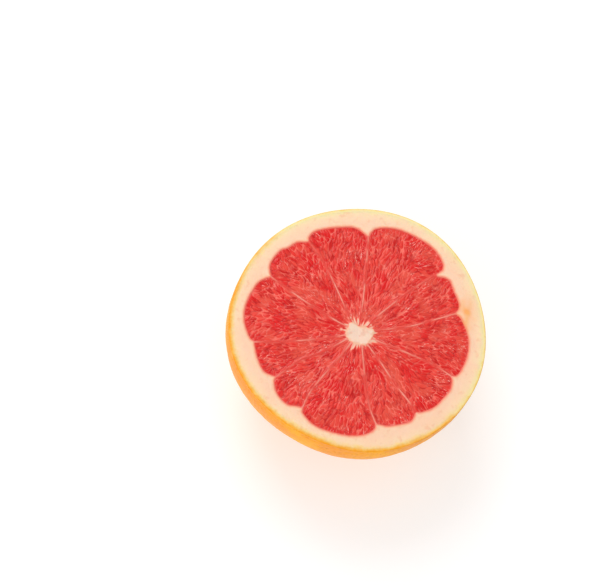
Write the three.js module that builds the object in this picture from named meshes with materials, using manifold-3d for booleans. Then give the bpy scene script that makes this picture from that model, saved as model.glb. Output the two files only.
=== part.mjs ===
// Half of a pink grapefruit, cut square across its axis and lying on its round side.
// Millimetres, +Z up and out of the cut face. The origin is the middle of the small flat
// spot that the half rests on, at the blossom end of the fruit's axis.

import * as THREE from 'three';
import { mergeVertices } from 'three/addons/utils/BufferGeometryUtils.js';
import Module from 'manifold-3d';

// ---- driving dimensions, mm ----

const EQUATOR_RADIUS = 53.8;        // mean radius of the widest ring
const POLE_DEPTH = 47.5;            // from the widest ring down to the pole of the uncut fruit
const CUT_ABOVE_EQUATOR = 5;        // how far above the widest ring the knife passed
const REST_RADIUS = 9;              // flat spot that the half lies on
const SEPTUM_THICKNESS = 0.7;       // membrane between two segments, with the pulp's rounded edges
const POCKET_DEPTH = 0.7;           // how far the pulp lies below the membranes and the pith

const RING_SIDES = 108;             // flats around the fruit
const DOME_STEPS = 22;              // rings between the flat spot and the cut
const MEMBRANE_STEPS = 10;          // straight pieces along a membrane
const EDGE_STEPS = 20;              // and along the outer edge of a segment

// The fruit is a little out of round. Each swelling has a number of lobes, a height in mm and
// the direction of one of its lobes, in degrees from +X towards +Y.
const SWELLINGS = [
  { lobes: 1, height: 0.5, direction: 31 },
  { lobes: 2, height: 0.6, direction: 20 },
  { lobes: 3, height: 0.7, direction: 63 },
  { lobes: 5, height: 0.3, direction: 55 },
];

// The cut face, seen from above: each entry is a membrane, from the core out to the pith, and
// the outer edge of the segment that follows it, going anticlockwise. Points are x, y in mm.
const SEGMENTS = [
  {
    membrane: [[6.8, -0.6], [20, 1.6], [32, 5.6], [40.8, 8.8]],
    edge: [[42.2, 10.8], [42.3, 13.8], [40.3, 18.7], [38.4, 23.5], [34.6, 24.6]],
  },
  {
    membrane: [[3.6, 0.6], [7, 4.8], [15.5, 12.5], [24, 19.5], [32, 25]],
    edge: [[35.6, 28], [35.4, 32], [31, 38], [22.5, 42.8], [15, 45.1], [7, 44.3]],
  },
  {
    membrane: [[0.1, 0.9], [0.6, 4.5], [1.8, 13], [3, 26], [4, 40.3]],
    edge: [[2.2, 41.8], [-2, 44.2], [-9, 43.8], [-17.5, 41.8], [-21, 38.8]],
  },
  {
    membrane: [[-3.4, 2.6], [-6.5, 10], [-11.5, 21], [-16, 29.5], [-21.2, 36.6]],
    edge: [[-22.8, 36.1], [-26.4, 35.7], [-29.6, 33.3], [-33.5, 31.3], [-37.2, 25.6], [-37.2, 21.6]],
  },
  {
    membrane: [[-4.8, 0.2], [-10, 2.6], [-20, 8.4], [-28, 13.6], [-37, 19.8]],
    edge: [[-39.2, 18.8], [-42.8, 16], [-46.9, 7.5], [-47.6, 0], [-45.4, -7]],
  },
  {
    membrane: [[-6, -3.6], [-14, -5.6], [-26, -7.4], [-36, -8.4], [-43.4, -9]],
    edge: [[-43.1, -11], [-41.8, -16], [-39.4, -21], [-35.9, -22.8]],
  },
  {
    membrane: [[-5, -5.2], [-11, -9], [-17.5, -12.6], [-24.5, -15.6], [-34.2, -23.3]],
    edge: [[-34.9, -25.6], [-33.4, -30.8], [-29.5, -34.6], [-25, -35.2]],
  },
  {
    membrane: [[-3.2, -6.8], [-9, -14.5], [-15.5, -22.5], [-20.5, -29.5], [-23.3, -35.8]],
    edge: [[-22.8, -38.4], [-17, -43.5], [-5, -46.3], [3, -45.3], [6.6, -42.6]],
  },
  {
    membrane: [[1.2, -7.8], [2, -17], [3, -27], [4.6, -35], [7, -41]],
    edge: [[9, -41.1], [13, -41.3], [20.8, -39.2], [22.9, -36.4]],
  },
  {
    membrane: [[3.6, -7.2], [9, -14.5], [15.5, -24.2], [21, -31], [23.3, -34.8]],
    edge: [[25.5, -34.9], [31, -32.5], [34.5, -29], [38, -24.6], [38.8, -20.6]],
  },
  {
    membrane: [[5.5, -4.5], [14, -7.5], [24, -11.2], [31.5, -14.3], [38.8, -18.8]],
    edge: [[41.6, -17.7], [44.8, -11.6], [46.2, -5], [45.6, 1], [43, 7]],
  },
];

// ---- sizes that follow from these ----

const BASE_TO_EQUATOR = POLE_DEPTH * Math.sqrt(1 - (REST_RADIUS / EQUATOR_RADIUS) ** 2);
const CUT_HEIGHT = BASE_TO_EQUATOR + CUT_ABOVE_EQUATOR;

const wasm = await Module();
wasm.setup();

// Turns a closed geometry into a solid that can be cut and joined.
function toSolid(geometry) {
  const bare = geometry.clone();
  bare.deleteAttribute('normal');
  bare.deleteAttribute('uv');
  const merged = mergeVertices(bare, 1e-4);
  const corners = merged.index.array;
  const kept = [];
  for (let i = 0; i < corners.length; i += 3) {
    const [a, b, c] = [corners[i], corners[i + 1], corners[i + 2]];
    if (a !== b && b !== c && c !== a) kept.push(a, b, c);
  }
  return new wasm.Manifold(new wasm.Mesh({
    numProp: 3,
    vertProperties: new Float32Array(merged.attributes.position.array),
    triVerts: new Uint32Array(kept),
  }));
}

function toGeometry(solid) {
  const mesh = solid.getMesh();
  const geometry = new THREE.BufferGeometry();
  geometry.setAttribute('position', new THREE.BufferAttribute(mesh.vertProperties, 3));
  geometry.setIndex(new THREE.BufferAttribute(mesh.triVerts, 1));
  geometry.computeVertexNormals();
  return geometry;
}

// How far the widest ring swells in one direction from the axis.
function swelling(direction) {
  return SWELLINGS.reduce((sum, swell) => {
    const turn = direction - THREE.MathUtils.degToRad(swell.direction);
    return sum + swell.height * Math.cos(swell.lobes * turn);
  }, 0);
}

// The round side and the cut face, turned as a lathe profile and then pushed out of round.
// The flat spot is left round and level.
function makeBody() {
  const profile = [new THREE.Vector2(0, 0)];
  const lowest = -Math.asin(BASE_TO_EQUATOR / POLE_DEPTH);
  const highest = Math.asin(CUT_ABOVE_EQUATOR / POLE_DEPTH);
  for (let step = 0; step <= DOME_STEPS; step++) {
    const angle = THREE.MathUtils.lerp(lowest, highest, step / DOME_STEPS);
    const height = BASE_TO_EQUATOR + POLE_DEPTH * Math.sin(angle);
    profile.push(new THREE.Vector2(EQUATOR_RADIUS * Math.cos(angle), height));
  }
  profile[1].y = 0;
  profile.at(-1).y = CUT_HEIGHT;
  profile.push(new THREE.Vector2(0, CUT_HEIGHT));

  const body = new THREE.LatheGeometry(profile, RING_SIDES);
  body.rotateX(Math.PI / 2);
  const points = body.attributes.position;
  for (let i = 0; i < points.count; i++) {
    const [x, y] = [points.getX(i), points.getY(i)];
    const reach = Math.hypot(x, y);
    const beyondFlat = Math.max(0, reach - REST_RADIUS) / (EQUATOR_RADIUS - REST_RADIUS);
    const growth = 1 + swelling(Math.atan2(y, x)) * beyondFlat / Math.max(reach, REST_RADIUS);
    points.setXY(i, x * growth, y * growth);
  }
  return toSolid(body);
}

// Evenly spaced points on a smooth curve through the ones given, both ends included.
function smoothLine(points, steps) {
  return new THREE.SplineCurve(points.map(([x, y]) => new THREE.Vector2(x, y))).getSpacedPoints(steps);
}

// Moves a membrane's middle line sideways, to its left when looking from the core outwards.
function moveLeft(line, distance) {
  return line.map((point, i) => {
    const before = line[Math.max(i - 1, 0)];
    const after = line[Math.min(i + 1, line.length - 1)];
    const along = after.clone().sub(before).normalize();
    return new THREE.Vector2(point.x - along.y * distance, point.y + along.x * distance);
  });
}

// The shallow pocket that one segment's pulp sinks into, between two membranes and the pith.
function makePocket(segment, next) {
  const right = moveLeft(smoothLine(segment.membrane, MEMBRANE_STEPS), SEPTUM_THICKNESS / 2);
  const left = moveLeft(smoothLine(next.membrane, MEMBRANE_STEPS), -SEPTUM_THICKNESS / 2);
  const outer = smoothLine([right.at(-1).toArray(), ...segment.edge, left.at(-1).toArray()], EDGE_STEPS);
  const shape = new THREE.Shape([...right, ...outer.slice(1, -1), ...left.reverse()]);
  const pocket = new THREE.ExtrudeGeometry(shape, { depth: 2 * POCKET_DEPTH, bevelEnabled: false });
  pocket.translate(0, 0, CUT_HEIGHT - POCKET_DEPTH);
  return toSolid(pocket);
}

function makeHalf() {
  const pockets = SEGMENTS.map((segment, i) => makePocket(segment, SEGMENTS[(i + 1) % SEGMENTS.length]));
  const half = pockets.reduce((solid, pocket) => solid.subtract(pocket), makeBody());
  const flesh = new THREE.MeshStandardMaterial({ color: '#f4a950', roughness: 0.45, metalness: 0 });
  const mesh = new THREE.Mesh(toGeometry(half), flesh);
  mesh.name = 'grapefruit_half';
  return mesh;
}

const grapefruit = new THREE.Group();
grapefruit.add(makeHalf());

export default grapefruit;
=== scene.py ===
"""The looks of half a pink grapefruit: its rind, its pith with the membranes and the core, and its pulp.

Lengths are in millimetres until a mesh is made. The cut face is level, with x and y in its plane.
"""

import math

import bpy
import numpy as np
from mathutils import Matrix, Vector, noise
from mathutils.geometry import delaunay_2d_cdt


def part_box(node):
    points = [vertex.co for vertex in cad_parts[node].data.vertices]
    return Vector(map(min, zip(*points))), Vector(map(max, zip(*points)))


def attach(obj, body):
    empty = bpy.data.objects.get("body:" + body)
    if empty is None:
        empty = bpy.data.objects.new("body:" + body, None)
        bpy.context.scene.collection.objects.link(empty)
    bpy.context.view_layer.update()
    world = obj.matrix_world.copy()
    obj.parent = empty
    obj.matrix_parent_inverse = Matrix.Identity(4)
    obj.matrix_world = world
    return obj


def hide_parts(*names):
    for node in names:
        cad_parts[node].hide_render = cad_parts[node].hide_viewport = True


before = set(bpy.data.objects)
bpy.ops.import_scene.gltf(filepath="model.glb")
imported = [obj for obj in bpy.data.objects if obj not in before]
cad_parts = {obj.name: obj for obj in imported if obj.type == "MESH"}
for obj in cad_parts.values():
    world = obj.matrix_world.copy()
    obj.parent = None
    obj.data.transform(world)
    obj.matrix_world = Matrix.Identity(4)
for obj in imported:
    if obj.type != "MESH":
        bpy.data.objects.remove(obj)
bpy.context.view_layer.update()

NODE = "grapefruit_half"
MM = 0.001

# The fruit's outside, as in the CAD model.
EQUATOR_RADIUS = 53.8
POLE_DEPTH = 47.5
CUT_ABOVE_EQUATOR = 5
REST_RADIUS = 9
SWELLINGS = [(1, 0.5, 31), (2, 0.6, 20), (3, 0.7, 63), (5, 0.3, 55)]  # lobes, height, direction
BASE_TO_EQUATOR = POLE_DEPTH * math.sqrt(1 - (REST_RADIUS / EQUATOR_RADIUS) ** 2)
CUT_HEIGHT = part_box(NODE)[1].z / MM

# How the cut face is divided.
ZEST = 1.3            # coloured skin, measured in from the rim of the cut face
SLAB_DEPTH = 3.0      # how deep the modelled pith and pulp reach below the cut
PITH_STEP = 0.27      # distance between the pith's vertices
PULP_STEP = 0.2       # and the pulp's
RIND_GRID = 296       # squares along each side of the grid that is wrapped round the outside
CORE = np.array([0.0, -2.8])
RIPE_SIDE = math.radians(232)         # the direction in which the rind is ripest
AMBER_AT = np.array([45.4, 9.0])      # a translucent orange patch in the pith
AMBER_SIZE = np.array([3.0, 6.5])
BLUSH_SIDE = math.radians(205)        # the direction in which the skin is reddest

# Pale specks beside the core: x, y, radius.
BEADS = [(-7.4, -1.2, 0.7), (5.8, -0.8, 0.8), (-3.8, 4.0, 0.9), (5.0, 1.4, 0.6)]
DIMPLE_SPACING = 2.3                  # between the dimples of the skin
SAC_SPACING = 2.25                    # between the middles of the juice sacs
PULP_OVERLAP = 0.1                    # how far the pulp reaches in under the pith around it


# ---- helpers for points and outlines ----

def smooth_noise(points, size, shift=0.0):
    """Perlin noise from about -0.7 to 0.7 that varies over the given size in mm."""
    scaled = np.asarray(points, float) / size + shift
    if scaled.shape[1] == 2:
        scaled = np.c_[scaled, np.full(len(scaled), shift * 1.7 + 0.31)]
    return np.array([noise.noise(Vector(p)) for p in scaled.tolist()])


def smoothstep(low, high, value):
    t = np.clip((value - low) / (high - low), 0, 1)
    return t * t * (3 - 2 * t)


def cut_outlines(node):
    """The rim of the cut face, and the outline of each pocket in it, as arrays of x and y."""
    mesh = node.data
    points = np.empty(len(mesh.vertices) * 3)
    mesh.vertices.foreach_get("co", points)
    points = points.reshape(-1, 3) / MM
    _, first, merged = np.unique(np.round(points, 3), axis=0, return_index=True, return_inverse=True)
    merged = merged.ravel()
    level = points[:, 2] > CUT_HEIGHT - 0.01
    edges = set()
    for face in mesh.polygons:
        corners = list(face.vertices)
        if level[corners].all():
            corners = [int(merged[c]) for c in corners]
            edges.update(zip(corners, corners[1:] + corners[:1]))
    follows = {a: b for a, b in edges if (b, a) not in edges}
    outlines = []
    while follows:
        start, after = follows.popitem()
        loop = [start]
        while after != start:
            loop.append(after)
            after = follows.pop(after)
        outlines.append(points[first[loop], :2])
    outlines.sort(key=lambda loop: -np.ptp(loop[:, 0]))
    rim, pockets = outlines[0], outlines[1:]
    pockets.sort(key=lambda loop: math.atan2(*(loop.mean(0) - CORE)[::-1]))
    return rim, [loop[::-1] for loop in pockets]


def even_spacing(loop, step):
    """The same closed outline with its corners at equal distances, smoothed a little."""
    closed = np.vstack([loop, loop[:1]])
    along = np.r_[0, np.cumsum(np.linalg.norm(np.diff(closed, axis=0), axis=1))]
    count = max(8, int(round(along[-1] / step)))
    places = np.linspace(0, along[-1], count, endpoint=False)
    even = np.c_[np.interp(places, along, closed[:, 0]), np.interp(places, along, closed[:, 1])]
    for _ in range(max(1, int(0.5 / step) * 2)):
        even = 0.5 * even + 0.25 * (np.roll(even, 1, 0) + np.roll(even, -1, 0))
    return even


def pushed_out(loop, distance):
    """A closed anticlockwise outline moved outwards."""
    along = np.roll(loop, -1, 0) - np.roll(loop, 1, 0)
    along /= np.linalg.norm(along, axis=1)[:, None]
    return loop + distance * np.c_[along[:, 1], -along[:, 0]]


def distance_to(loop, points):
    """How far each point is from a closed outline."""
    nearest = np.full(len(points), np.inf)
    for a, b in zip(loop, np.roll(loop, -1, 0)):
        edge = b - a
        t = np.clip((points - a) @ edge / max(edge @ edge, 1e-12), 0, 1)
        gap = points - a - t[:, None] * edge
        nearest = np.minimum(nearest, np.einsum("ij,ij->i", gap, gap))
    return np.sqrt(nearest)


def is_inside(loop, points):
    crossings = np.zeros(len(points), bool)
    for a, b in zip(loop, np.roll(loop, -1, 0)):
        if a[1] == b[1]:
            continue
        spans = (a[1] > points[:, 1]) != (b[1] > points[:, 1])
        meets = a[0] + (points[:, 1] - a[1]) * (b[0] - a[0]) / (b[1] - a[1])
        crossings ^= spans & (points[:, 0] < meets)
    return crossings


def lattice(low, high, step, seed):
    """Points in a slightly uneven honeycomb."""
    rows = np.arange(low[1], high[1], step * math.sqrt(0.75))
    columns = np.arange(low[0], high[0], step)
    x, y = np.meshgrid(columns, rows)
    x = x + (np.arange(len(rows)) % 2)[:, None] * step / 2
    points = np.c_[x.ravel(), y.ravel()]
    return points + np.random.default_rng(seed).uniform(-0.12, 0.12, points.shape) * step


def fill(outer, holes, step, seed):
    """Triangles that fill an outline around its holes. The outlines' own corners come first."""
    loops = [outer, *holes]
    if step:
        inner = lattice(outer.min(0), outer.max(0), step, seed)
        inner = inner[is_inside(outer, inner)]
        for hole in holes:
            inner = inner[~is_inside(hole, inner)]
        for loop in loops:
            near = distance_to(loop, inner)
            inner = inner[near > 0.6 * step]
        points = np.vstack([*loops, inner])
    else:
        points = np.vstack(loops)
    edges = []
    start = 0
    for loop in loops:
        numbers = list(range(start, start + len(loop)))
        edges += list(zip(numbers, numbers[1:] + numbers[:1]))
        start += len(loop)
    done = delaunay_2d_cdt([Vector(p) for p in points.tolist()], edges, [], 0, 1e-7)
    corners = np.array([tuple(v) for v in done[0]])
    faces = np.array([f for f in done[2] if len(f) == 3])
    middles = corners[faces].mean(1)
    kept = is_inside(outer, middles)
    for hole in holes:
        kept &= ~is_inside(hole, middles)
    return corners, faces[kept]


# ---- helpers for meshes ----

MAP_MAIN = 0.93       # share of a piece's square texture map that its main surface takes


def make_piece(name, corners, faces, map_corners, material, slot, **values):
    """A piece from corners in mm, with one number or one vector for each vertex in each of values.

    map_corners holds each face's corners on the piece's texture map, one face after another.
    """
    mesh = bpy.data.meshes.new(name)
    mesh.from_pydata((np.asarray(corners) * MM).tolist(), [], [list(map(int, f)) for f in faces])
    layer = mesh.uv_layers.new(name="OFBake")
    layer.data.foreach_set("uv", np.asarray(map_corners, np.float32).ravel())
    for key, numbers in values.items():
        numbers = np.asarray(numbers, np.float32)
        kind = "FLOAT" if numbers.ndim == 1 else "FLOAT_VECTOR"
        layer = mesh.attributes.new(key, kind, "POINT")
        layer.data.foreach_set("value" if numbers.ndim == 1 else "vector", numbers.ravel())
    mesh.shade_smooth()
    mesh.set_sharp_from_angle(angle=math.radians(70))
    mesh.materials.append(material)
    piece = bpy.data.objects.new(name, mesh)
    bpy.context.scene.collection.objects.link(piece)
    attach(piece, "root")
    return piece


def map_strip(count, row, rows):
    """Where a ring of upright faces goes on a map: along the top, with each ring in its own row."""
    low = MAP_MAIN + 0.005 + row * (0.99 - MAP_MAIN) / rows
    high = low + 0.7 * (0.99 - MAP_MAIN) / rows
    left = np.arange(count) / count * 0.99
    right = left + 0.99 / count
    return np.stack([
        np.c_[left, np.full(count, high)],
        np.c_[left, np.full(count, low)],
        np.c_[right, np.full(count, low)],
        np.c_[right, np.full(count, high)],
    ], 1)


def thicken(corners, faces, heights, loops, floor):
    """Closes a height field: its edge goes straight down to a flat underside at the floor.

    Returns the corners, the faces and the faces' corners on the texture map.
    """
    top = np.c_[corners, heights]
    edge_count = sum(len(loop) for loop in loops)
    under_corners, under_faces = fill(loops[0], loops[1:], None, 0)
    if len(under_corners) != edge_count:
        raise ValueError("the underside's outline crosses itself")
    low = corners.min(0)
    span = np.ptp(corners, axis=0).max()
    flat = (corners - low) / span * MAP_MAIN
    maps = [flat[faces].reshape(-1, 2)]
    start = len(top)
    walls = []
    first = 0
    for number, loop in enumerate(loops):
        ring = np.arange(first, first + len(loop))
        after = np.roll(ring, -1)
        wall = np.c_[ring, ring + start, after + start, after]
        strip = map_strip(len(loop), number, len(loops))
        # A hole's outline runs anticlockwise too, so its wall faces the other way.
        if number:
            wall, strip = wall[:, ::-1], strip[:, ::-1]
        walls += wall.tolist()
        maps.append(strip.reshape(-1, 2))
        first += len(loop)
    under_faces = under_faces[:, ::-1]
    small = (under_corners - low) / span * 0.05 + [MAP_MAIN + 0.01, 0.01]
    maps.append(small[under_faces].reshape(-1, 2))
    solid = np.vstack([top, np.c_[under_corners, np.full(edge_count, floor)]])
    return solid, faces.tolist() + walls + (under_faces + start).tolist(), np.vstack(maps)


# ---- helpers for materials ----

def rgb(red, green, blue):
    """A screen colour, 0 to 255, as the linear colour that the shader works in."""
    def linear(value):
        value /= 255
        return value / 12.92 if value <= 0.04045 else ((value + 0.055) / 1.055) ** 2.4
    return (linear(red), linear(green), linear(blue), 1.0)


class Surface:
    """One material and the nodes that make it."""

    def __init__(self, name, **sockets):
        self.material = bpy.data.materials.new(name)
        self.material.use_nodes = True
        self.tree = self.material.node_tree
        self.shader = self.tree.nodes["Principled BSDF"]
        for socket, value in sockets.items():
            self.shader.inputs[socket.replace("_", " ")].default_value = value

    def node(self, kind, inputs=(), **settings):
        made = self.tree.nodes.new(kind)
        for key, value in settings.items():
            setattr(made, key, value)
        for key, value in dict(inputs).items():
            if isinstance(value, bpy.types.NodeSocket):
                self.tree.links.new(value, made.inputs[key])
            else:
                made.inputs[key].default_value = value
        return made

    def value(self, name):
        return self.node("ShaderNodeAttribute", attribute_name=name).outputs["Fac"]

    def vector(self, name):
        return self.node("ShaderNodeAttribute", attribute_name=name).outputs["Vector"]

    def place(self):
        return self.node("ShaderNodeTexCoord").outputs["Object"]

    def math(self, operation, a, b):
        return self.node("ShaderNodeMath", {0: a, 1: b}, operation=operation).outputs[0]

    def between(self, value, low, high, to_low=0.0, to_high=1.0):
        """value as it goes from low to high, smoothly turned into to_low to to_high."""
        inputs = {"Value": value, "From Min": low, "From Max": high, "To Min": to_low, "To Max": to_high}
        return self.node("ShaderNodeMapRange", inputs, interpolation_type="SMOOTHSTEP").outputs["Result"]

    def mix(self, amount, first, second, blend="MIX"):
        made = self.node("ShaderNodeMix", data_type="RGBA", blend_type=blend)
        for key, value in ((0, amount), (6, first), (7, second)):
            if isinstance(value, bpy.types.NodeSocket):
                self.tree.links.new(value, made.inputs[key])
            else:
                made.inputs[key].default_value = value
        return made.outputs[2]

    def ramp(self, value, *stops):
        made = self.node("ShaderNodeValToRGB", {0: value})
        points = made.color_ramp.elements
        while len(points) < len(stops):
            points.new(0.5)
        for point, (position, colour) in zip(points, stops):
            point.position = position
            point.color = colour
        return made.outputs["Color"]

    def noise(self, vector, scale, detail=3.0, roughness=0.55):
        inputs = {"Vector": vector, "Scale": scale, "Detail": detail, "Roughness": roughness}
        return self.node("ShaderNodeTexNoise", inputs).outputs["Fac"]

    def cells(self, vector, scale):
        """How far a point is from the middle of the nearest cell, in cells."""
        return self.node("ShaderNodeTexVoronoi", {"Vector": vector, "Scale": scale}).outputs["Distance"]

    def bump(self, height, strength, distance):
        inputs = {"Height": height, "Strength": strength, "Distance": distance * MM}
        made = self.node("ShaderNodeBump", inputs)
        self.tree.links.new(made.outputs["Normal"], self.shader.inputs["Normal"])

    def plug(self, socket, value):
        self.tree.links.new(value, self.shader.inputs[socket])


# ---- materials ----

def zest_to_pith(surface, from_skin, ripe, place):
    """The colour across the cut rind: skin, a lemon line, then pith. The riper side is more orange."""
    uneven = surface.math("SUBTRACT", surface.noise(place, 230, 5, 0.7), 0.5)
    wide = surface.math("SUBTRACT", surface.noise(place, 45, 2), 0.5)
    depth = surface.math("ADD", from_skin, surface.math("MULTIPLY", uneven, 3.2))
    depth = surface.math("ADD", depth, surface.math("MULTIPLY", wide, 1.2))
    share = surface.math("DIVIDE", depth, 8.0)
    orange = surface.ramp(
        share,
        (0.0, rgb(243, 158, 36)),
        (0.09, rgb(248, 181, 76)),
        (0.2, rgb(252, 211, 136)),
        (0.34, rgb(252, 216, 178)),
        (0.75, rgb(252, 209, 178)),
    )
    lemon = surface.ramp(
        share,
        (0.0, rgb(240, 206, 120)),
        (0.07, rgb(247, 226, 154)),
        (0.16, rgb(251, 228, 172)),
        (0.34, rgb(252, 219, 180)),
        (0.75, rgb(252, 211, 180)),
    )
    return surface.mix(ripe, lemon, orange)


def rind_material():
    surface = Surface(
        "rind",
        Specular_IOR_Level=0.15,
        Subsurface_Weight=0.1,
        Subsurface_Scale=0.0015,
        Subsurface_Radius=(1.0, 0.5, 0.15),
        Coat_Weight=0.03,
        Coat_Roughness=0.3,
    )
    place = surface.place()
    pore = surface.value("pore")
    blush = surface.value("blush")
    pole = surface.value("pole")
    patches = surface.noise(place, 55, 3)
    skin = surface.mix(surface.between(patches, 0.35, 0.65), rgb(246, 154, 8), rgb(254, 176, 22))
    skin = surface.mix(blush, skin, rgb(246, 126, 20))
    skin = surface.mix(pole, skin, rgb(226, 170, 50))
    unripe = surface.between(surface.value("ripe"), 0.0, 0.8, 0.45, 0.0)
    skin = surface.mix(unripe, skin, rgb(220, 172, 46))
    oil_dot = surface.between(surface.cells(place, 780), 0.05, 0.42, 1.0, 0.0)
    freckle = surface.between(surface.cells(place, 260), 0.03, 0.16, 1.0, 0.0)
    # Painted shade: the skin turns darker orange down in each dimple, where shade falls. The oil dots and
    # freckles below are the skin's own colour.
    skin = surface.mix(surface.math("MULTIPLY", pore, 0.22), skin, rgb(214, 122, 14))
    skin = surface.mix(surface.math("MULTIPLY", oil_dot, 0.42), skin, rgb(206, 104, 8))
    skin = surface.mix(surface.math("MULTIPLY", freckle, 0.4), skin, rgb(168, 88, 14))
    cut = zest_to_pith(surface, surface.value("from_skin"), surface.value("ripe"), place)
    surface.plug("Base Color", surface.mix(surface.value("is_cut"), skin, cut))
    surface.plug("Roughness", surface.between(patches, 0.3, 0.7, 0.38, 0.5))
    grain = surface.math("SUBTRACT", surface.noise(place, 1500, 3), surface.math("MULTIPLY", oil_dot, 1.2))
    surface.bump(grain, 0.5, 0.14)
    return surface.material


def pith_material():
    surface = Surface(
        "pith",
        Specular_IOR_Level=0.25,
        Subsurface_Weight=0.3,
        Subsurface_Scale=0.0015,
        Subsurface_Radius=(1.0, 0.6, 0.4),
    )
    place = surface.place()
    cream = zest_to_pith(surface, surface.value("from_skin"), surface.value("ripe"), place)
    blotch = surface.noise(place, 120, 4)
    cream = surface.mix(surface.between(blotch, 0.4, 0.75, 0.0, 0.5), cream, rgb(251, 200, 168))
    speck = surface.noise(place, 330, 2)
    cream = surface.mix(surface.between(speck, 0.56, 0.74, 0.0, 0.45), cream, rgb(240, 180, 140))
    cream = surface.mix(surface.value("core"), cream, rgb(244, 212, 190))
    hollow = surface.math("MULTIPLY", surface.value("core"), surface.between(speck, 0.48, 0.66, 0.0, 0.55))
    cream = surface.mix(hollow, cream, rgb(232, 176, 148))

    # Juice tints the pith beside the pulp, and the whole of a thin membrane.
    wobble = surface.math("SUBTRACT", surface.noise(place, 420, 3), 0.5)
    wobble = surface.math("MULTIPLY", wobble, surface.between(surface.value("core"), 0.0, 1.0, 0.7, 2.2))
    gap = surface.math("ADD", surface.value("pulp_gap"), wobble)
    beside = surface.between(gap, -0.1, 2.0, 1.0, 0.0)
    beside = surface.math("MULTIPLY", beside, surface.between(surface.value("core"), 0.0, 1.0, 1.0, 0.62))
    tint = surface.math("MAXIMUM", beside, surface.value("thin"))
    cream = surface.mix(surface.between(tint, 0.1, 0.65), cream, rgb(251, 186, 152))
    cream = surface.mix(surface.between(tint, 0.6, 0.95), cream, rgb(246, 128, 108))
    along = surface.noise(place, 95, 2)
    membrane = surface.mix(surface.between(along, 0.4, 0.62), rgb(236, 66, 56), rgb(253, 146, 128))
    cream = surface.mix(surface.between(surface.value("thin"), 0.7, 1.0), cream, membrane)
    amber = surface.mix(surface.value("amber"), cream, rgb(250, 176, 104))
    surface.plug("Base Color", amber)
    surface.plug("Roughness", surface.between(surface.noise(place, 700, 3), 0.3, 0.7, 0.45, 0.65))
    surface.bump(surface.noise(place, 1300, 4, 0.65), 0.45, 0.2)
    return surface.material


def pulp_material():
    surface = Surface(
        "pulp",
        Specular_IOR_Level=0.18,
        Subsurface_Weight=0.25,
        Subsurface_Scale=0.0015,
        Subsurface_Radius=(1.0, 0.2, 0.14),
        Coat_Weight=0.12,
        Coat_Roughness=0.16,
    )
    place = surface.place()
    streak = surface.noise(surface.vector("grain"), 1.0, 3, 0.6)
    sac = surface.ramp(
        surface.value("tone"),
        (0.0, rgb(200, 22, 20)),
        (0.4, rgb(222, 36, 30)),
        (0.75, rgb(230, 50, 42)),
        (1.0, rgb(238, 76, 64)),
    )
    sac = surface.mix(surface.between(streak, 0.42, 0.7, 0.0, 0.7), sac, rgb(242, 88, 72))
    sac = surface.mix(surface.between(streak, 0.5, 0.28, 0.0, 0.65), sac, rgb(190, 12, 16))
    sac = surface.mix(surface.value("pale"), sac, rgb(230, 86, 68))
    sac = surface.mix(surface.value("deep"), sac, rgb(224, 14, 20))

    # The seams take the sac walls' own colour, pale pink in places and dark red in others. Thin near-white
    # streaks here and there are painted highlights: glints of light painted into the colour.
    film = surface.between(surface.noise(place, 260, 3), 0.38, 0.6)
    seam_colour = surface.mix(film, rgb(190, 12, 16), rgb(250, 120, 104))
    sac = surface.mix(surface.between(surface.value("seam"), 0.0, 0.18, 0.85, 0.0), sac, seam_colour)
    # Painted highlight: near-white streaks along the grain of the sacs, in scattered patches, stand in for
    # glints on the wet pulp.
    painted_glint = surface.between(surface.noise(surface.vector("grain"), 2.3, 2, 0.5), 0.6, 0.7)
    glint_area = surface.between(surface.noise(place, 110, 2), 0.46, 0.64, 0.0, 0.9)
    painted_glint = surface.math("MULTIPLY", painted_glint, glint_area)
    sac = surface.mix(painted_glint, sac, rgb(255, 186, 172))

    sac = surface.mix(surface.between(surface.value("side_gap"), 0.0, 0.9, 0.6, 0.0), sac, rgb(244, 92, 80))
    sac = surface.mix(surface.between(surface.value("rim_gap"), 0.0, 0.7, 0.5, 0.0), sac, rgb(242, 92, 78))
    sac = surface.mix(surface.between(surface.value("cream"), 0.0, 0.6), sac, rgb(244, 112, 94))
    sac = surface.mix(surface.between(surface.value("cream"), 0.4, 1.0), sac, rgb(249, 198, 170))
    surface.plug("Base Color", sac)
    surface.plug("Roughness", surface.between(streak, 0.3, 0.7, 0.22, 0.42))
    surface.bump(surface.math("ADD", streak, surface.noise(place, 900, 2)), 0.2, 0.25)
    return surface.material


# ---- the outside ----

def swelling(direction):
    return sum(height * np.cos(lobes * (direction - math.radians(at))) for lobes, height, at in SWELLINGS)


def outside(radius, direction):
    """How far the outside is from the axis, out of round as the CAD model is."""
    beyond_flat = np.maximum(0, radius - REST_RADIUS) / (EQUATOR_RADIUS - REST_RADIUS)
    return radius + swelling(direction) * beyond_flat * radius / np.maximum(radius, REST_RADIUS)


def square_to_disc(count):
    """A square grid wrapped onto a disc without pinching: how far out, 0 to 1, and the direction."""
    side = np.linspace(-1, 1, count + 1)
    x, y = np.meshgrid(side, side)
    wide = np.abs(x) >= np.abs(y)
    far = np.where(wide, x, y)
    with np.errstate(divide="ignore", invalid="ignore"):
        turn = np.where(wide, np.nan_to_num(y / x), 2 - np.nan_to_num(x / y)) * math.pi / 4
    return np.abs(far).ravel(), (turn + np.where(far < 0, math.pi, 0)).ravel()


def dimples(points):
    """Depth of the skin's shallow dimples at each point, 0 to 1."""
    near = np.array([noise.voronoi(Vector(p))[0][0] for p in (points / DIMPLE_SPACING).tolist()])
    return np.exp(-(near / 0.42) ** 2)


def ripeness(points):
    """How orange the skin and the cut rind are, 0 to 1: one side of the fruit is riper."""
    direction = np.arctan2(points[:, 1], points[:, 0])
    return smoothstep(-0.6, 0.7, np.cos(direction - RIPE_SIDE) + 0.6 * smooth_noise(points, 14, 1.9))


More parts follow.
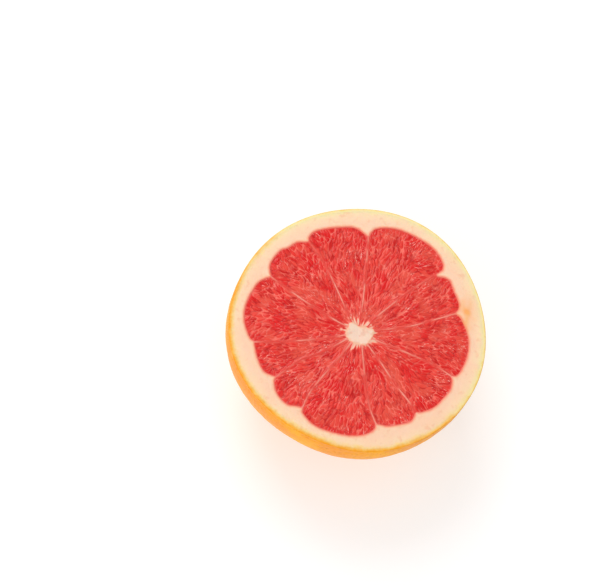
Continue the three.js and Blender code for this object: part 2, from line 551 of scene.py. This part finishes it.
def build_rind(material):
    """The skin, with its cut edge as far in as the pith. Returns the outline where the pith starts."""
    out, direction = square_to_disc(RIND_GRID)
    lowest = -math.asin(BASE_TO_EQUATOR / POLE_DEPTH)
    highest = math.asin(CUT_ABOVE_EQUATOR / POLE_DEPTH)
    flat_share = 0.1
    angle = lowest + (highest - lowest) * np.clip((out - flat_share) / (1 - flat_share), 0, 1)
    radius = np.where(out < flat_share, REST_RADIUS * out / flat_share, EQUATOR_RADIUS * np.cos(angle))
    height = np.where(out < flat_share, 0, BASE_TO_EQUATOR + POLE_DEPTH * np.sin(angle))
    reach = outside(radius, direction)
    skin = np.c_[reach * np.cos(direction), reach * np.sin(direction), height]

    # Dimples and a soft unevenness sink into the skin, along its normal.
    normal = np.c_[np.cos(direction) * np.cos(angle), np.sin(direction) * np.cos(angle), np.sin(angle)]
    pore = dimples(skin)
    above_rest = smoothstep(0.0, 3.0, height)
    rim_fade = 1 - smoothstep(0.985, 1.0, out)
    uneven = smooth_noise(skin, 17, 3.1) + 0.35 * smooth_noise(skin, 4.5, 8.2)
    dimple_depth = 0.16 * pore * (0.3 + 0.7 * above_rest)
    sink = (dimple_depth + 0.22 * (uneven + 0.5) * above_rest) * rim_fade
    skin -= normal * sink[:, None]
    scar = np.exp(-((radius - 2.6) / 0.8) ** 2)
    skin[:, 2] += np.where(out < flat_share, 0.25 * np.exp(-(radius / 3.6) ** 4) + 0.2 * scar, 0)
    skin[:, 2] = np.maximum(skin[:, 2], 0)

    count = RIND_GRID + 1
    grid = np.arange(count * count).reshape(count, count)
    # Seen from outside, below, the grid runs the other way round.
    faces = np.stack([grid[:-1, :-1], grid[1:, :-1], grid[1:, 1:], grid[:-1, 1:]], -1).reshape(-1, 4).tolist()
    border = np.r_[grid[0, :-1], grid[:-1, -1], grid[-1, :0:-1], grid[:0:-1, 0]]

    # The cut edge of the skin: over the rim, level across the zest, then down beside the pith.
    turn = direction[border]
    rim = np.c_[np.cos(turn), np.sin(turn)]
    rows = [(0.10, -0.06), (0.3, 0.0), (0.6, 0.0), (0.95, 0.0), (ZEST, 0.0), (ZEST, -SLAB_DEPTH)]
    corners = [skin]
    from_skin = [np.zeros(len(skin))]
    is_cut = [np.zeros(len(skin))]
    disc = 0.5 * MAP_MAIN * (1 + out[:, None] * np.c_[np.cos(direction), np.sin(direction)])
    maps = [disc[np.array(faces)].reshape(-1, 2)]
    before = border
    start = len(skin)
    reach_rim = reach[border]
    # The last ring of the outside drops a little below the cut, so that the rim is rounded.
    skin[border, 2] = CUT_HEIGHT - 0.2
    for number, (inward, drop) in enumerate(rows):
        place = rim * (reach_rim - inward)[:, None]
        level = np.full(len(place), CUT_HEIGHT + drop)
        if drop == 0:
            level += cut_relief(place)
        corners.append(np.c_[place, level])
        from_skin.append(np.full(len(place), inward))
        is_cut.append(np.full(len(place), 1.0 if inward > 0.2 else 0.6))
        ring = np.arange(start, start + len(place))
        faces += np.c_[ring, before, np.roll(before, -1), np.roll(ring, -1)].tolist()
        maps.append(map_strip(len(ring), number, len(rows)).reshape(-1, 2))
        before = ring
        start += len(place)
    corners.append([[0, 0, CUT_HEIGHT - SLAB_DEPTH]])
    faces += [[a, b, start] for a, b in zip(before.tolist(), np.roll(before, -1).tolist())]
    centre = np.array([MAP_MAIN + 0.035, 0.035])
    floor_map = centre + 0.03 * rim
    middle = np.broadcast_to(centre, rim.shape)
    maps.append(np.stack([floor_map, np.roll(floor_map, -1, 0), middle], 1).reshape(-1, 2))
    corners = np.vstack(corners)
    extra = len(corners) - len(skin)
    blush_noise = smooth_noise(corners, 38, 5.4)
    blush_side = corners[:, :2] @ [math.cos(BLUSH_SIDE), math.sin(BLUSH_SIDE)]
    blush = smoothstep(-0.15, 0.75, blush_noise + blush_side / 90) * 0.35
    pole = np.r_[1 - smoothstep(6, 26, radius), np.zeros(extra)] * 0.5
    ripe = ripeness(corners)
    piece = make_piece(
        "rind", corners, faces, np.vstack(maps), material, "rind",
        # The dimples' depth also goes to the material, which paints shade into them.
        pore=np.r_[pore * rim_fade, np.zeros(extra)],
        blush=blush,
        pole=pole,
        ripe=ripe,
        from_skin=np.r_[np.concatenate(from_skin), 3.0],
        is_cut=np.r_[np.concatenate(is_cut), 1.0],
    )
    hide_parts(NODE)
    return rim * (reach_rim - ZEST)[:, None]


# ---- the cut face ----

def cut_relief(points):
    """The knife's faint unevenness, the same on every piece so that they meet."""
    return 0.05 * smooth_noise(points, 9, 2.2) + 0.03 * smooth_noise(points, 1.6, 6.6)


def build_pith(inner_rim, rim, pockets, material):
    """The pith, the membranes between the segments and the core, as one height field."""
    holes = [even_spacing(pocket, PITH_STEP) for pocket in pockets]
    outer = even_spacing(inner_rim, PITH_STEP)
    corners, faces = fill(outer, holes, PITH_STEP, 11)
    gaps = np.sort([distance_to(hole, corners) for hole in holes], axis=0)
    pulp_gap = gaps[0]
    thin = 1 - smoothstep(0.8, 2.6, gaps[0] + gaps[1])
    from_skin = distance_to(rim, corners)
    to_core = np.linalg.norm(corners - CORE, axis=1)
    spongy = 0.06 * smooth_noise(corners, 0.9, 4.0) * smoothstep(0.2, 1.0, pulp_gap)
    relief = cut_relief(corners) + spongy
    # The membranes and the pith's edge round over towards the pulp, and the core's middle sinks.
    edge = -0.18 * (1 - smoothstep(0.0, 0.6, pulp_gap))
    core = -0.35 * np.exp(-(to_core / 2.6) ** 2)
    heights = CUT_HEIGHT + relief + edge + core
    heights[: len(outer)] = CUT_HEIGHT + cut_relief(corners[: len(outer)])
    amber = np.exp(-(np.linalg.norm((corners - AMBER_AT) / AMBER_SIZE, axis=1)) ** 2)
    amber *= 0.75 + 0.7 * smooth_noise(corners, 2.6, 12.5)
    solid, all_faces, maps = thicken(corners, faces, heights, [outer, *holes], CUT_HEIGHT - SLAB_DEPTH)
    extra = len(solid) - len(corners)
    return make_piece(
        "pith", solid, all_faces, maps, material, "pith",
        pulp_gap=np.r_[pulp_gap, np.zeros(extra)],
        thin=np.r_[thin, np.zeros(extra)],
        core=np.r_[1 - smoothstep(6, 12, to_core), np.zeros(extra)],
        ripe=ripeness(solid),
        from_skin=np.r_[from_skin, np.full(extra, 3.0)],
        amber=np.r_[amber, np.zeros(extra)],
    )


def juice_sacs(points, outline, seed):
    """The juice sacs that the cut crosses in one segment.

    Each sac is long and thin, and points from the outside of the segment towards the core. Returns, for
    each point, how far it is from a seam between sacs, the sac's own random numbers, and the distance
    along and across the sac.
    """
    rng = np.random.default_rng(seed)
    middle = outline.mean(0) - CORE
    centre_turn = math.atan2(middle[1], middle[0])
    away = outline - CORE
    turns = (np.arctan2(away[:, 1], away[:, 0]) - centre_turn + math.pi) % (2 * math.pi) - math.pi
    half_width = np.percentile(np.abs(turns), 80)

    low, high = outline.min(0) - 1.5, outline.max(0) + 1.5
    seeds = lattice(low, high, SAC_SPACING, seed)
    seeds += rng.uniform(-0.8, 0.8, seeds.shape)
    keep = is_inside(pushed_out(outline, 0.8), seeds) & (rng.random(len(seeds)) < 0.85)
    seeds = seeds[keep]
    offset = seeds - CORE
    radial = np.arctan2(offset[:, 1], offset[:, 0])
    aside = ((radial - centre_turn + math.pi) % (2 * math.pi) - math.pi) / half_width
    reach = np.linalg.norm(offset, axis=1)
    lean = 0.42 * np.clip(aside, -1.2, 1.2) * smoothstep(8, 26, reach)
    wander = 0.9 * smooth_noise(seeds, 9, seed * 0.37) * smoothstep(6, 30, reach)
    heading = radial + lean + wander + rng.normal(0, 0.16, len(seeds))
    length = rng.uniform(2.6, 5.4, len(seeds)) * (1.15 - 0.35 * smoothstep(36, 46, reach))
    width = rng.uniform(0.9, 1.55, len(seeds)) * (0.55 + 0.45 * smoothstep(8, 26, reach))
    along = np.c_[np.cos(heading), np.sin(heading)]

    nearest = np.full(len(points), np.inf)
    second = np.full(len(points), np.inf)
    owner = np.zeros(len(points), int)
    bent = points + 0.7 * np.c_[smooth_noise(points, 3.4, 1.3), smooth_noise(points, 3.4, 7.9)]
    for number, (place, axis) in enumerate(zip(seeds, along)):
        gap = bent - place
        close = np.nonzero(np.einsum("ij,ij->i", gap, gap) < 64)[0]
        gap = gap[close]
        ahead = (gap @ axis) / length[number]
        across = (gap @ [-axis[1], axis[0]]) / width[number]
        distance = np.sqrt(ahead ** 2 + across ** 2)
        closer = distance < nearest[close]
        second[close] = np.where(closer, nearest[close], np.minimum(second[close], distance))
        owner[close[closer]] = number
        nearest[close] = np.where(closer, distance, nearest[close])
    seam = (second - nearest) / (second + nearest)
    gap = points - seeds[owner]
    axis = along[owner]
    ahead = np.einsum("ij,ij->i", gap, axis)
    across = gap[:, 1] * axis[:, 0] - gap[:, 0] * axis[:, 1]
    return seam, rng.random((len(seeds), 3))[owner], ahead, across


def nearest_of(others, points):
    """How far each point is from the nearest of some others."""
    nearest = np.full(len(points), np.inf)
    for other in others:
        gap = points - other
        nearest = np.minimum(nearest, np.einsum("ij,ij->i", gap, gap))
    return np.sqrt(nearest)


def build_segment(number, pockets, material):
    """The pulp of one segment, as a height field of juice sacs."""
    outline = pushed_out(even_spacing(pockets[number], PULP_STEP), PULP_OVERLAP)
    outline = even_spacing(outline, PULP_STEP)
    corners, faces = fill(outline, [], PULP_STEP, 20 + number)
    seam, chance, ahead, across = juice_sacs(corners, outline, 40 + number)
    to_core = np.linalg.norm(corners - CORE, axis=1)

    # The outline borders the pith at the outer edge and thin membranes at both sides.
    neighbours = np.vstack([even_spacing(p, 0.5) for i, p in enumerate(pockets) if i != number])
    beside_pith = nearest_of(neighbours, outline) > 1.7
    beside_pith &= np.linalg.norm(outline - CORE, axis=1) > 12
    rim_gap = nearest_of(outline[beside_pith], corners)
    side_gap = nearest_of(outline[~beside_pith], corners)

    # Where the knife opened the sacs they are flat and pale.
    # Elsewhere they stand up, each to its own height.
    opened = smoothstep(0.0, 0.4, smooth_noise(corners, 7.5, 9.7) + 0.2 * (chance[:, 1] - 0.5))
    pillow = np.clip(seam, 0, 1) ** 0.6
    heights = -0.38 + 0.32 * (1 - 0.55 * opened) * pillow
    heights += 0.14 * (chance[:, 0] - 0.5) * (1 - 0.5 * opened)
    heights += 0.03 * (chance[:, 2] - 0.5) * ahead * pillow
    heights += 0.04 * smooth_noise(np.c_[ahead * 0.4, across * 1.6, chance[:, 0] * 40], 1.0)
    heights += 0.12 * smooth_noise(corners, 5.0, 3.3)
    heights = np.where(heights > -0.02, -0.02 + 0.3 * (heights + 0.02), heights)
    flush = np.exp(-side_gap / 0.5)
    heights += flush * (-0.14 - heights)
    heights += np.exp(-rim_gap / 0.55) * (-0.26 - heights)

    around = np.arctan2(*(corners - CORE).T)
    rays = smooth_noise(np.c_[around * 7.5, to_core * 0.15], 1.0, 2.7)
    rays += 0.6 * smooth_noise(np.c_[around * 2.2, np.zeros(len(corners))], 1.0, 5.2)
    tip_gap = to_core - (6.2 + 3.8 * np.clip(rays, -0.5, 0.7))
    cream = 0.85 * (1 - smoothstep(-1.8, 1.3, tip_gap))
    for x, y, size in BEADS:
        bead = np.exp(-(np.linalg.norm(corners - [x, y], axis=1) / size) ** 2)
        cream = np.maximum(cream, 0.95 * bead)
        heights += 0.2 * bead
    deep = smoothstep(0.1, 0.5, smooth_noise(corners, 6.0, 14.2)) * (1 - opened)
    deep = np.maximum(0.7 * deep, 0.5 * np.exp(-((rim_gap - 1.2) / 1.1) ** 2))
    grain = np.c_[ahead * 0.28, across * 1.15, chance[:, 0] * 37]

    level = CUT_HEIGHT + heights
    solid, all_faces, maps = thicken(corners, faces, level, [outline], CUT_HEIGHT - SLAB_DEPTH)
    extra = len(solid) - len(corners)

    def whole(values):
        return np.concatenate([values, np.zeros((extra,) + values.shape[1:])])

    return make_piece(
        f"pulp_{number + 1:02d}", solid, all_faces, maps, material, "pulp",
        seam=whole(np.clip(seam, 0, 1)),
        tone=whole(chance[:, 1]),
        pale=whole(opened * (0.45 + 0.35 * chance[:, 2])),
        deep=whole(deep),
        rim_gap=whole(rim_gap),
        side_gap=whole(side_gap),
        cream=whole(cream),
        grain=whole(grain),
    )


# ---- camera, light and floor ----

FACE = Vector((0, 0, CUT_HEIGHT * MM))
CAMERA_TILT = math.radians(22)          # between the line of sight and straight down
CAMERA_SIDE = math.radians(242)         # the direction from +X that the camera stands in
CAMERA_DISTANCE = 0.8
FOCAL_PIXELS = 1938.4                    # focal length over the width of one pixel
IMAGE_WIDTH, IMAGE_HEIGHT = 600, 588
FACE_AT = (359.1, 327.5)                 # where the middle of the face falls in the image


def add_camera():
    data = bpy.data.cameras.new("camera")
    data.sensor_width = 36
    data.lens = FOCAL_PIXELS / IMAGE_WIDTH * data.sensor_width
    camera = bpy.data.objects.new("camera", data)
    bpy.context.scene.collection.objects.link(camera)
    side = Vector((math.cos(CAMERA_SIDE), math.sin(CAMERA_SIDE), 0))
    back = math.sin(CAMERA_TILT) * side + math.cos(CAMERA_TILT) * Vector((0, 0, 1))
    up = (Vector((0, 1, 0)) - back.y * back).normalized()
    right = up.cross(back)
    aimed = Matrix((right, up, back)).transposed()
    turn = math.atan((FACE_AT[0] - IMAGE_WIDTH / 2) / FOCAL_PIXELS)
    nod = math.atan((FACE_AT[1] - IMAGE_HEIGHT / 2) / FOCAL_PIXELS)
    turned = aimed @ Matrix.Rotation(turn, 3, "Y") @ Matrix.Rotation(nod, 3, "X")
    camera.matrix_world = Matrix.Translation(FACE + back * CAMERA_DISTANCE) @ turned.to_4x4()
    bpy.context.scene.camera = camera


def add_light(name, place, size, power, colour=(1, 1, 1)):
    data = bpy.data.lights.new(name, "AREA")
    data.size = size
    data.energy = power
    data.color = colour
    light = bpy.data.objects.new(name, data)
    light.location = place
    light.rotation_mode = "QUATERNION"
    light.rotation_quaternion = (Vector(place) - FACE).to_track_quat("Z", "Y")
    bpy.context.scene.collection.objects.link(light)


def add_surroundings():
    scene = bpy.context.scene
    scene.view_settings.view_transform = "Standard"
    scene.world = bpy.data.worlds.new("studio")
    scene.world.use_nodes = True
    sky = scene.world.node_tree.nodes["Background"]
    sky.inputs["Color"].default_value = (1, 1, 1, 1)
    sky.inputs["Strength"].default_value = 0.66
    add_light("key", (-0.35, 0.75, 1.0), 0.7, 6.4)
    add_light("fill", (-0.75, -0.75, 0.6), 0.8, 4)

    floor_surface = Surface("floor", Roughness=0.8)
    floor_surface.shader.inputs["Emission Color"].default_value = (1, 1, 1, 1)
    floor_surface.shader.inputs["Emission Strength"].default_value = 0.38
    shade = floor_surface.noise(floor_surface.place(), 3, 2)
    floor_surface.plug("Base Color", floor_surface.mix(shade, (0.7, 0.7, 0.7, 1), (0.72, 0.72, 0.72, 1)))
    mesh = bpy.data.meshes.new("floor")
    half = 4.0
    corners = [(-half, -half, 0), (half, -half, 0), (half, half, 0), (-half, half, 0)]
    mesh.from_pydata(corners, [], [(0, 1, 2, 3)])
    mesh.materials.append(floor_surface.material)
    floor = bpy.data.objects.new("floor", mesh)
    scene.collection.objects.link(floor)


# ---- everything ----

rim, pockets = cut_outlines(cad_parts[NODE])
inner_rim = build_rind(rind_material())
build_pith(inner_rim, rim, pockets, pith_material())
pulp = pulp_material()
for number in range(len(pockets)):
    build_segment(number, pockets, pulp)
add_camera()
add_surroundings()
